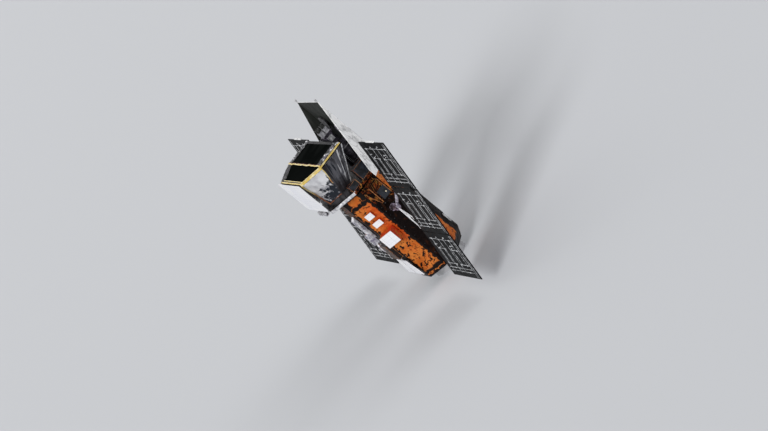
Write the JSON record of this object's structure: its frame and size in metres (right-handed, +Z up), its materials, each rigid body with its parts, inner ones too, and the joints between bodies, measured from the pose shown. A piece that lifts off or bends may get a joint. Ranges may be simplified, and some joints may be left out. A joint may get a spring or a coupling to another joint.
{
  "type": "astronomy satellite",
  "caption": "Astronomy satellite with a foil-wrapped octagonal bus, coded-mask instrument, hooded telescopes and folding solar wings on turning yokes.",
  "frame": {"origin": "centre of the launch ring's seat, on the bus axis", "axes": "+Z up along the telescopes' view, +X towards the sunshade, +Y along the left solar wing"},
  "size_m": [1.717, 6.786, 4.8573],
  "materials": {
    "orange_foil": "crinkled metallised film",
    "silver_foil": "crinkled metallised film",
    "silver_tape": "satin",
    "mask_black": "matt film",
    "mask_border": "crinkled metallised film",
    "radiator_white": "matt white paint",
    "shade_skin": "white blanket outside, dark inside",
    "panel_back": "dark carbon skin with pale wiring",
    "yoke_tube": "satin",
    "box_dark": "dark film",
    "tube_grey": "grey film",
    "bare_metal": "machined",
    "tracker_grey": "satin"
  },
  "bodies": {
    "spacecraft": {"launch_ring": "bare_metal", "bottom_deck": "orange_foil", "bus_body": "orange_foil", "bench_neck": "orange_foil", "optical_bench": "silver_tape", "detector_box": "box_dark", "mask_shield": "silver_foil", "mask_frame": "mask_border", "mask_panel": "mask_black", "mask_radiator": "radiator_white", "radiator_posts": "bare_metal", "xray_telescope": "tube_grey", "uv_telescope": "tube_grey", "tracker_bracket": "silver_foil", "star_tracker_rear": "tracker_grey", "star_tracker_front": "tracker_grey", "sunshade_centre": "shade_skin", "sunshade_flank_left": "shade_skin", "sunshade_flank_right": "shade_skin", "sunshade_posts": "tracker_grey", "small_radiator_boxes": "orange_foil", "medium_radiator_boxes": "orange_foil", "large_radiator_boxes": "orange_foil", "lower_radiator": "radiator_white", "rear_duct": "silver_foil", "power_box": "box_dark", "tall_bench_box": "box_dark", "low_bench_box": "box_dark", "sun_antenna": "tracker_grey", "tail_bench_box": "silver_foil", "drive_housing_left": "bare_metal", "drive_housing_right": "bare_metal"},
    "xray_cover_body": {"xray_cover": "tube_grey"},
    "uv_cover_body": {"uv_cover": "tube_grey"},
    "wing_left": {"wing_hub_left": "yoke_tube", "yoke_arm_lower_left": "yoke_tube", "yoke_arm_upper_left": "yoke_tube", "wing_panel_middle_left": "panel_back"},
    "wing_left_upper": {"wing_panel_upper_left": "panel_back"},
    "wing_left_lower": {"wing_panel_lower_left": "panel_back"},
    "wing_right": {"wing_hub_right": "yoke_tube", "yoke_arm_lower_right": "yoke_tube", "yoke_arm_upper_right": "yoke_tube", "wing_panel_middle_right": "panel_back"},
    "wing_right_upper": {"wing_panel_upper_right": "panel_back"},
    "wing_right_lower": {"wing_panel_lower_right": "panel_back"}
  },
  "joints": [
    {"name": "wing_left_drive", "type": "hinge", "parent": "spacecraft", "child": "wing_left", "pos_m": [-0.08, 0.75, 2.07], "axis": [0, 1, 0], "range_deg": [-90, 90]},
    {"name": "wing_left_upper_fold", "type": "hinge", "parent": "wing_left", "child": "wing_left_upper", "pos_m": [0.04023, 2.6, 2.65947], "axis": [0, -1, 0], "range_deg": [0, 180]},
    {"name": "wing_left_lower_fold", "type": "hinge", "parent": "wing_left", "child": "wing_left_lower", "pos_m": [-0.20023, 2.6, 1.48053], "axis": [0, -1, 0], "range_deg": [0, 180]},
    {"name": "wing_right_drive", "type": "hinge", "parent": "spacecraft", "child": "wing_right", "pos_m": [-0.08, -0.75, 2.07], "axis": [0, 1, 0], "range_deg": [-90, 90]},
    {"name": "wing_right_upper_fold", "type": "hinge", "parent": "wing_right", "child": "wing_right_upper", "pos_m": [0.04023, -2.6, 2.65947], "axis": [0, -1, 0], "range_deg": [0, 180]},
    {"name": "wing_right_lower_fold", "type": "hinge", "parent": "wing_right", "child": "wing_right_lower", "pos_m": [-0.20023, -2.6, 1.48053], "axis": [0, -1, 0], "range_deg": [0, 180]},
    {"name": "xray_cover_hinge", "type": "hinge", "parent": "spacecraft", "child": "xray_cover_body", "pos_m": [0.594, 0.3, 3.936], "axis": [0, -1, 0], "range_deg": [0, 94]},
    {"name": "uv_cover_hinge", "type": "hinge", "parent": "spacecraft", "child": "uv_cover_body", "pos_m": [0.584, -0.29, 3.726], "axis": [0, -1, 0], "range_deg": [0, 94]}
  ]
}
